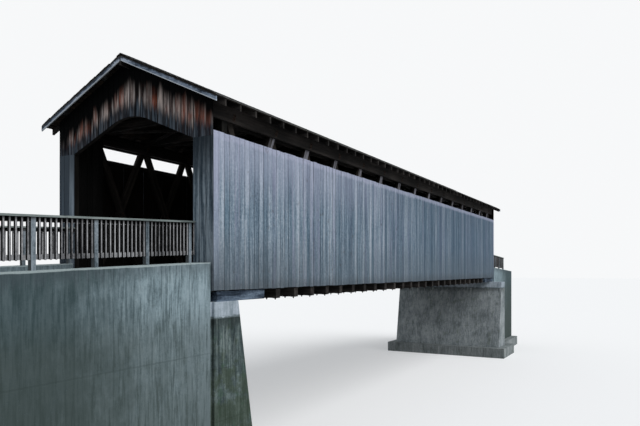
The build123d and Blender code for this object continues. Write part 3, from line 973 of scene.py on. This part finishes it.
class GableBoards(LaidBoards):
    """Upright boards cut to the peaked head below and to the roof above."""

    def __init__(self) -> None:
        """Add the sizes of the head and the roof to the laid boards."""
        super().__init__("gable_boards", ("Corner", "Half", "Rise", "Round", "Apex", "Slope"))

    def shaped(self, geometry: Wire) -> Wire:
        """Move each board's foot to the head's edge and its top to the roof."""
        x, y, z = self.position()
        half, rise, rounded = self.input("Half"), self.input("Rise"), self.input("Round")
        side = x.absolute()
        straight = self.input("Corner") + (half - side.most(rounded)).most(0.0) * rise
        inner = side.least(rounded)
        radius = rounded * (1.0 / (rise * rise) + 1.0).root()
        arc = (radius * radius - inner * inner).root() - (radius * radius - rounded * rounded).root()
        foot = straight + arc
        top = self.input("Apex") - side * self.input("Slope")
        upper = (z - self.graph.split(self.input("Origin"))[2]).ramp(-0.001, 0.001)
        return self.moved(geometry, Position=self.graph.join(x, y, foot + (top - foot) * upper))


class Bolts(Recipe):
    """A square washer with a nut and a bolt's end on it at each place, facing along the given turn."""

    def __init__(self) -> None:
        """Build the tree on the places it is given."""
        super().__init__("bolts", {"Float": ("Washer", "Nut"), "Vector": ("Turn",), "Material": ("Finish",)})
        g = self.graph
        washer, nut = self.input("Washer"), self.input("Nut")
        plate = g.wire("GeometryNodeMeshCube", {"Size": g.join(washer, washer, washer * 0.12)}, "Mesh")
        joined = g.node("GeometryNodeJoinGeometry")
        for part in (plate, self.stud(6, nut, 0.5, 0.7, 0.35), self.stud(8, nut, 0.27, 1.1, 0.5)):
            g.tree.links.new(part.socket, joined.inputs[0])
        self.close(self.real(self.placed(Wire(g, joined.outputs[0]), self.input("Geometry"), self.input("Turn"))))

    def stud(self, sides: int, nut: Wire, radius: float, depth: float, rise: float) -> Wire:
        """A round or six-sided piece on the washer, its sizes as shares of the nut's width."""
        g = self.graph
        piece = g.wire("GeometryNodeMeshCylinder",
                       {"Vertices": sides, "Radius": nut * radius, "Depth": nut * depth}, "Mesh")
        return g.wire("GeometryNodeTransform", {"Geometry": piece, "Translation": g.join(0.0, 0.0, nut * rise)})


class Nails(Recipe):
    """A small domed nail head at each place."""

    def __init__(self) -> None:
        """Build the tree on the places it is given."""
        super().__init__("nails", {"Float": ("Radius", "Wander"), "Vector": ("Turn",), "Int": ("Seed",),
                                   "Material": ("Finish",)})
        radius, wander = self.input("Radius"), self.input("Wander")
        head = self.graph.wire("GeometryNodeMeshCone",
                               {"Vertices": 6, "Radius Top": radius * 0.5, "Radius Bottom": radius,
                                "Depth": radius * 0.4}, "Mesh", fill_type="NGON")
        places = self.moved(self.input("Geometry"), Offset=self.graph.join(
            0.0, self.random(-1.0, 1.0, 1) * wander, self.random(-1.0, 1.0, 2) * wander))
        self.close(self.real(self.placed(head, places, self.input("Turn"))))


@dataclass
class Assembly:
    """Base of the sub-assemblies: keeps the frame's nodes and the shared trees."""

    nodes: dict[str, bpy.types.Object]
    laid: LaidBoards
    gables: GableBoards
    bolts: Bolts
    nails: Nails

    def dress(self, finish: Finish, *names: str) -> None:
        """Give carried-over nodes a finish."""
        for name in names:
            for slot in self.nodes[name].material_slots:
                slot.material = finish.material()
            LOG.info("%s finished as %s", name, finish.name)

    def keep(self, piece: bpy.types.Object, slot: str, *replaced: str) -> None:
        """Hand a new piece to the frame."""
        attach(piece, "root")
        if replaced:
            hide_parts(*replaced)
        LOG.info("%s: %d faces", piece.name, len(piece.data.polygons))

    def lay(self, name: str, finish: Finish, slot: str, replaced: str, board: Triple, field: tuple[float, float],
            origin: Sequence[float], turn: Triple, seed: int, columns: tuple[int, float] = (1, 1.0),
            rows: tuple[int, float] = (1, 1.0), chamfer: float = 0.0, tree: LaidBoards | None = None,
            **values: Any) -> None:
        """Lay one field of boards.

        Args:
            name: The piece's name.
            finish: What it is made of.
            slot: The record's slot that it stands for; not used.
            replaced: Node that it stands for.
            board: Width, length and thickness of one board.
            field: Width and length of the whole field, which the boards are trimmed to.
            origin: The field's middle.
            turn: Euler turn of the field.
            seed: Start of the random draws.
            columns: Number of boards side by side, and their step.
            rows: Number of boards end to end, and their step.
            chamfer: Width of the worn long edges, none unless given.
            tree: The tree to run, the plain one unless given.
            **values: Other inputs of the tree.
        """
        inputs: dict[str, Any] = {
            "Columns": columns[0], "Column Step": columns[1], "Rows": rows[0], "Row Step": rows[1],
            "Board": board, "Board Columns": 4 if chamfer else 2, "Chamfer": chamfer, "Field": (*field, 1.0),
            "Origin": tuple(origin), "Turn": turn, "Stagger": 0.0, "Wander": 0.004, "Warp": 0.006,
            "Lean": (0.0, 0.0, 0.0), "Seed": seed, "Finish": finish.material()}
        self.keep((tree or self.laid).run(name, {**inputs, **values}), slot, replaced)

    def fix(self, tree: Recipe, name: str, slot: str, turn: Triple, places: Sequence[Triple],
            **values: Any) -> None:
        """Set iron fixings at the given places, facing along the turn."""
        self.keep(tree.run(name, {"Turn": turn, "Finish": IRON.material(), **values}, places), slot)


@dataclass
class Boarding(Assembly):
    """Siding, portal jambs, gables and the shelter boards inside each portal."""

    board: float = 0.2
    trim: float = 0.02
    nail_rows: Triple = (4.922, 6.677, 8.468)
    nail_places: tuple[float, float] = (0.2, 0.8)
    jamb_boards: int = 3
    jamb_joint: float = 0.003
    gable_board: float = 0.19
    gable_middle: float = 9.0
    shelter_length: float = 0.9
    shelter_boards: int = 5
    shelter_thickness: float = 0.025

    def build(self) -> None:
        """Make all the upright boarding."""
        for side, sign in SIDES:
            self.siding(side, sign)
        for end, sign in ENDS:
            for side, hand in SIDES:
                self.jamb(end, sign, side, hand)
            self.gable(end, sign)
        for end, sign in ENDS:
            for side, hand in SIDES:
                self.shelter(end, sign, side, hand)

    def siding(self, side: str, sign: float) -> None:
        """Siding boards on one side, with their nails."""
        low, high = carried("siding_" + side)
        length, height = high.y - low.y, high.z - low.z
        count = round(length / self.board)
        step = length / count
        face = high.x if sign > 0 else low.x
        self.lay("siding_boards_" + side, SIDING, "siding_timber", "siding_" + side,
                 (step - JOINT, height, high.x - low.x), (length, height + self.trim), (low + high) / 2,
                 turned((0, sign, 0), (0, 0, 1), (sign, 0, 0)), 11 if sign > 0 else 12, (count, step),
                 chamfer=WORN_EDGE)
        places = [(face, low.y + step * (i + part), z) for i in range(count) for part in self.nail_places
                  for z in self.nail_rows]
        self.fix(self.nails, "siding_nails_" + side, "siding_timber", (0.0, sign * math.pi / 2, 0.0), places,
                 Radius=0.0055, Wander=0.012, Seed=3)

    def jamb(self, end: str, sign: float, side: str, hand: float) -> None:
        """Boards on one side of one opening."""
        low, high = carried("portal_jambs_" + end)
        inner = -carried("portal_heads")[0].x
        width, height = high.x - inner, high.z - low.z
        step = width / self.jamb_boards
        self.lay(f"jamb_boards_{end}_{side}", JAMB, "portal_timber", "portal_jambs_" + end,
                 (step - self.jamb_joint, height, high.y - low.y), (width, height),
                 (hand * (high.x + inner) / 2, (low.y + high.y) / 2, (low.z + high.z) / 2),
                 turned((-sign, 0, 0), (0, 0, 1), (0, sign, 0)), 21 + int(hand) + 4 * int(sign),
                 (self.jamb_boards, step), chamfer=WORN_EDGE, Wander=0.002)

    def gable(self, end: str, sign: float) -> None:
        """Boards over one opening, between its head and the roof."""
        low, high = carried("gable_" + end)
        head_low, head_high = carried("portal_heads")
        roof_low, roof_high = carried("sheathing_right")
        width = high.x - low.x
        count = round(width / self.gable_board)
        step = width / count
        self.lay("gable_boards_" + end, GABLE, "gable_timber", "gable_" + end,
                 (step - JOINT, 1.0, high.y - low.y), (width, 2.0), (0.0, (low.y + high.y) / 2, self.gable_middle),
                 turned((-sign, 0, 0), (0, 0, 1), (0, sign, 0)), 31 + int(sign), (count, step), chamfer=WORN_EDGE,
                 tree=self.gables, Wander=0.003, Corner=head_low.z, Half=head_high.x, Rise=HEAD_RISE,
                 Round=HEAD_ROUND, Apex=ROOF_APEX, Slope=(roof_high.z - roof_low.z) / (roof_high.x - roof_low.x))

    def shelter(self, end: str, sign: float, side: str, hand: float) -> None:
        """Boards on the inner face of one truss just inside one portal."""
        low, high = carried("shelter_boards")
        length, height = self.shelter_length, high.z - low.z
        step = length / self.shelter_boards
        self.lay(f"shelter_boards_{end}_{side}", SHELTER_SHADE, "shelter_timber", "shelter_boards",
                 (step - JOINT, height, self.shelter_thickness), (length, height),
                 (hand * (high.x - self.shelter_thickness / 2), sign * (high.y - length / 2), (low.z + high.z) / 2),
                 turned((0, -hand, 0), (0, 0, 1), (-hand, 0, 0)), 41, (self.shelter_boards, step),
                 chamfer=WORN_EDGE)


@dataclass
class Roof(Assembly):
    """Shingles, their ridge courses, open sheathing, barge boards and the roof frame."""

    exposure: float = 0.139
    width: float = 0.135
    gap: float = 0.003
    length: float = 0.36
    thickness: float = 0.010
    sink: float = 0.0185
    base_rows: int = 20
    base_columns: int = 9
    base_length: float = 3.6
    base_gap: float = 0.02
    base_thickness: float = 0.022
    base_plumb: float = 0.0243
    base_sink: float = 0.0122
    ridge_step: float = 0.14
    ridge_length: float = 0.3
    ridge_thickness: float = 0.008
    ridge_sink: float = 0.013
    ridge_lap: float = 0.004

    def build(self) -> None:
        """Make the roof's coverings and finish its frame."""
        for side, sign in SIDES:
            self.slope(side, sign)
        self.ridge()
        self.dress(BARGE, "barge_boards")
        self.dress(CROSS_TIMBER, "rafters")
        self.dress(LONG_TIMBER, "ridge_board")

    def pitched(self, sign: float, fall: float) -> tuple[Vector, Triple, float]:
        """Outward normal of one slope, the turn that lays boards on it, and the cosine of its pitch."""
        angle = math.atan(fall)
        cosine, sine = math.cos(angle), math.sin(angle)
        normal = (sign * sine, 0.0, cosine)
        return Vector(normal), turned((0, -sign, 0), (sign * cosine, 0, -sine), normal), cosine

    def slope(self, side: str, sign: float) -> None:
        """Shingle courses and sheathing boards on one slope."""
        low, high = carried("shingles_" + side)
        base_low, base_high = carried("sheathing_" + side)
        length, run, base_run = high.y - low.y, high.x - low.x, base_high.x - base_low.x
        fall = (base_high.z - base_low.z - self.base_plumb) / base_run
        normal, turn, cosine = self.pitched(sign, fall)
        down, base_down = run / cosine, base_run / cosine
        rows = round(down / self.exposure)
        middle = Vector((sign * run / 2, 0.0, high.z - fall * run / 2)) - normal * self.sink
        self.lay("roof_shingles_" + side, SHINGLE, "shingle", "shingles_" + side,
                 (self.width - self.gap, self.length, self.thickness), (length, down), middle, turn, 51 + int(sign),
                 (round(length / self.width) + 1, self.width), (rows, down / rows), Stagger=1.0, Wander=0.006,
                 Warp=0.004, Lean=(-0.058, 0.0, 0.0))
        step = base_down / self.base_rows
        self.lay("sheathing_boards_" + side, SHEATHING, "sheathing_timber", "sheathing_" + side,
                 (self.base_length - JOINT, step - self.base_gap, self.base_thickness), (length, base_down),
                 (sign * base_run / 2, 0.0, base_high.z - self.base_sink - fall * base_run / 2), turn, 55,
                 (self.base_columns, self.base_length), (self.base_rows, step), Stagger=1.0, Wander=0.003, Warp=0.0)

    def ridge(self) -> None:
        """Lapped shingles along both sides of the ridge."""
        low, high = carried("ridge_cap")
        length = high.y - low.y
        for side, sign in SIDES:
            normal, turn, cosine = self.pitched(sign, ROOF_SLOPE)
            middle = Vector((sign * high.x / 2, 0.0, high.z - ROOF_SLOPE * high.x / 2)) - normal * self.ridge_sink
            down = high.x / cosine + self.ridge_lap
            self.lay("ridge_shingles_" + side, RIDGE, "shingle", "ridge_cap",
                     (self.ridge_length, down, self.ridge_thickness), (length, down), middle, turn, 61,
                     (round(length / self.ridge_step), self.ridge_step), Wander=0.004, Warp=0.002,
                     Lean=(0.0, sign * 0.035, 0.0))


@dataclass
class Floor(Assembly):
    """Deck planks, running planks and the timbers that carry them."""

    plank: float = 0.24
    plank_joint: float = 0.006
    end_width: float = 4.1
    running_width: float = 0.7
    running_rows: int = 3
    running_columns: int = 9
    running_length: float = 3.6
    running_joint: float = 0.005
    running_edge: float = 0.004

    def build(self) -> None:
        """Lay the floor and finish its timbers."""
        low, high = carried("deck")
        chord_low, chord_high = carried("bottom_chords")
        length, width, thickness = chord_high.y - chord_low.y, high.x - low.x, high.z - low.z
        level, flat = (low.z + high.z) / 2, (0.0, 0.0, 0.0)
        count = round(length / self.plank)
        step = length / count
        self.lay("deck_planks", DECK, "deck_timber", "deck", (width, step - self.plank_joint, thickness),
                 (width, length), (0.0, 0.0, level), flat, 71, rows=(count, step))
        edge = high.y - chord_high.y
        for end, sign in ENDS:
            self.lay("end_plank_" + end, DECK, "deck_timber", "deck", (self.end_width, edge, thickness),
                     (self.end_width, edge), (0.0, sign * (high.y - edge / 2), level), flat, 72, Wander=0.001)
        run_low, run_high = carried("running_boards")
        step = self.running_width / self.running_rows
        for side, sign in SIDES:
            self.lay("running_planks_" + side, RUNNING, "deck_timber", "running_boards",
                     (self.running_length - JOINT, step - self.running_joint, run_high.z - run_low.z),
                     (run_high.y - run_low.y, self.running_width),
                     (sign * (run_high.x - self.running_width / 2), 0.0, (run_low.z + run_high.z) / 2),
                     turned((0, 1, 0), (-1, 0, 0), (0, 0, 1)), 75, (self.running_columns, self.running_length),
                     (self.running_rows, step), self.running_edge, Stagger=1.0, Wander=0.003, Warp=0.002)
        self.dress(CROSS_TIMBER, "floor_beams", "bearing_sills")
        self.dress(LONG_TIMBER, "stringers")
        self.dress(BOLSTER, "bolsters")


@dataclass
class Trusses(Assembly):
    """Finishes of the trusses and top framing, and their bolts."""

    thickness: float = 0.36
    clasp: float = 0.08
    inset: float = 0.09
    level: float = 9.0
    drift: float = 0.4
    hangers: int = 12
    hanger_reaches: tuple[float, float] = (0.04, 0.32)

    def build(self) -> None:
        """Finish the timbers and set the bolts."""
        self.dress(MAIN_BRACE, "main_braces")
        self.dress(COUNTER_BRACE, "counter_braces")
        self.dress(LONG_TIMBER, "bottom_chords", "top_chords", "wall_plates", "siding_nailers")
        self.dress(CROSS_TIMBER, "tie_beams", "lateral_braces", "portal_heads")
        self.dress(UPRIGHT_TIMBER, "end_posts", "portal_posts")
        low, high = carried("top_chords")
        inner = high.x - self.thickness
        middle = (carried("bottom_chords")[0].z + high.z) / 2
        for side, sign in SIDES:
            inward: list[Triple] = []
            outward: list[Triple] = []
            for n in range(PANELS):
                y = -PANEL * (PANELS - 1) / 2 + PANEL * n
                for z in (high.z - self.inset, low.z + self.inset):
                    inward.append((sign * inner, y + (z - self.level) * self.drift, z))
                    outward.append((sign * high.x, y + (z - self.level) * self.drift, z))
                if n + 1 < PANELS:
                    inward.append((sign * (inner + self.clasp), y + PANEL / 2, middle))
            for label, places, face in (("inner", inward, -sign), ("outer", outward, sign)):
                self.fix(self.bolts, f"truss_bolts_{side}_{label}", "truss_timber", (0.0, face * math.pi / 2, 0.0),
                         places, Washer=0.09, Nut=0.042)
        under = carried("floor_beams")[0].z
        places = [(sign * (inner + reach), PANEL / 2 * n, under) for n in range(-self.hangers, self.hangers + 1)
                  for _, sign in SIDES for reach in self.hanger_reaches]
        self.fix(self.bolts, "hanger_bolts", "floor_timber", (math.pi, 0.0, 0.0), places, Washer=0.11, Nut=0.046)


@dataclass
class Approaches(Assembly):
    """Finishes of the abutments, side walls and railings."""

    def build(self) -> None:
        """Finish both ends."""
        for end, breast, footing in (("near", OLD_CONCRETE, FOOTING), ("far", FAR_CONCRETE, FAR_FOOTING)):
            for finish, name in ((footing, "footing"), (breast, "abutment"), (breast, "backwall"),
                                 (PALE_CONCRETE, "seat_cap"), (WALL, "wing_walls"), (POST, "railing_posts"),
                                 (PICKET, "railing_panels"), (RAIL_CAP, "railing_caps")):
                self.dress(finish, f"{name}_{end}")


@dataclass
class Studio:
    """Pale floor, soft lamps and the camera."""

    reach: float = 400.0
    glow: float = 0.26
    fill: float = 0.44
    sun: float = 2.1
    sun_width: float = 50.0
    sun_from: Triple = (1.0, -0.12, 0.95)
    eye: Triple = (11.343, -24.531, 5.310)
    heading: float = 29.118
    lens: float = 33.24
    shift: float = 0.0893

    def floor(self) -> None:
        """A wide floor at the footings' level, pale to the eye and plain to the light."""
        mesh = bpy.data.meshes.new("floor")
        corners = [(x * self.reach, y * self.reach, 0.0) for x, y in ((-1, -1), (1, -1), (1, 1), (-1, 1))]
        mesh.from_pydata(corners, [], [(0, 1, 2, 3)])
        floor = bpy.data.objects.new("floor", mesh)
        bpy.context.scene.collection.objects.link(floor)
        material = bpy.data.materials.new("floor_pale")
        graph = self.cleared(material)
        plain = graph.wire("ShaderNodeBsdfDiffuse", {"Color": (0.36, 0.36, 0.36, 1.0)})
        pale = graph.wire("ShaderNodeBsdfDiffuse", {"Color": (0.74, 0.745, 0.75, 1.0)})
        glow = graph.wire("ShaderNodeEmission", {"Color": (0.97, 0.98, 1.0, 1.0), "Strength": self.glow})
        seen = graph.wire("ShaderNodeAddShader", {0: pale, 1: glow})
        both = graph.wire("ShaderNodeMixShader", {0: self.looked_at(graph), 1: plain, 2: seen})
        graph.node("ShaderNodeOutputMaterial", {"Surface": both})
        mesh.materials.append(material)

    def cleared(self, holder: Any) -> Graph:
        """The empty node tree of a material or a world."""
        holder.use_nodes = True
        holder.node_tree.nodes.clear()
        return Graph(holder.node_tree)

    def looked_at(self, graph: Graph) -> Wire:
        """1 for what the camera sees, straight or through a reflection."""
        path = graph.node("ShaderNodeLightPath")
        straight, glossy, through = (Wire(graph, path.outputs[name]) for name in (
            "Is Camera Ray", "Is Glossy Ray", "Is Transmission Ray"))
        return straight.most(glossy).most(through)

    def lights(self) -> None:
        """An even pale sky and one broad soft lamp from the right."""
        world = bpy.data.worlds.new("studio")
        bpy.context.scene.world = world
        graph = self.cleared(world)
        fill = graph.wire("ShaderNodeBackground", {"Color": (0.95, 0.98, 1.0, 1.0), "Strength": self.fill})
        backdrop = graph.wire("ShaderNodeBackground", {"Color": (0.93, 0.94, 0.95, 1.0), "Strength": 1.0})
        both = graph.wire("ShaderNodeMixShader", {0: self.looked_at(graph), 1: fill, 2: backdrop})
        graph.node("ShaderNodeOutputWorld", {"Surface": both})
        lamp = bpy.data.lights.new("soft_key", "SUN")
        lamp.energy = self.sun
        lamp.angle = math.radians(self.sun_width)
        key = bpy.data.objects.new("soft_key", lamp)
        key.rotation_euler = Vector(self.sun_from).to_track_quat("Z", "Y").to_euler()
        bpy.context.scene.collection.objects.link(key)

    def camera(self) -> None:
        """The photograph's view: level, turned left of the roadway, with the frame shifted up."""
        data = bpy.data.cameras.new("camera")
        data.sensor_width = 36.0
        data.lens = self.lens
        data.shift_y = self.shift
        data.clip_end = 1000.0
        camera = bpy.data.objects.new("camera", data)
        camera.location = self.eye
        camera.rotation_euler = (math.radians(90.0), 0.0, math.radians(self.heading))
        bpy.context.scene.collection.objects.link(camera)
        bpy.context.scene.camera = camera


def main() -> None:
    """Load the frame, dress it and set the stage."""
    logging.basicConfig(level=logging.INFO, format="%(name)s %(message)s")
    bpy.ops.object.select_all(action="SELECT")
    bpy.ops.object.delete()
    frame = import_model()
    shared = (frame["nodes"], LaidBoards(), GableBoards(), Bolts(), Nails())
    for assembly in (Boarding(*shared), Roof(*shared), Floor(*shared), Trusses(*shared), Approaches(*shared)):
        assembly.build()
    studio = Studio()
    studio.floor()
    studio.lights()
    studio.camera()
    bpy.context.scene.view_settings.view_transform = "Standard"
    bpy.context.view_layer.update()


if __name__ == "__main__":
    main()
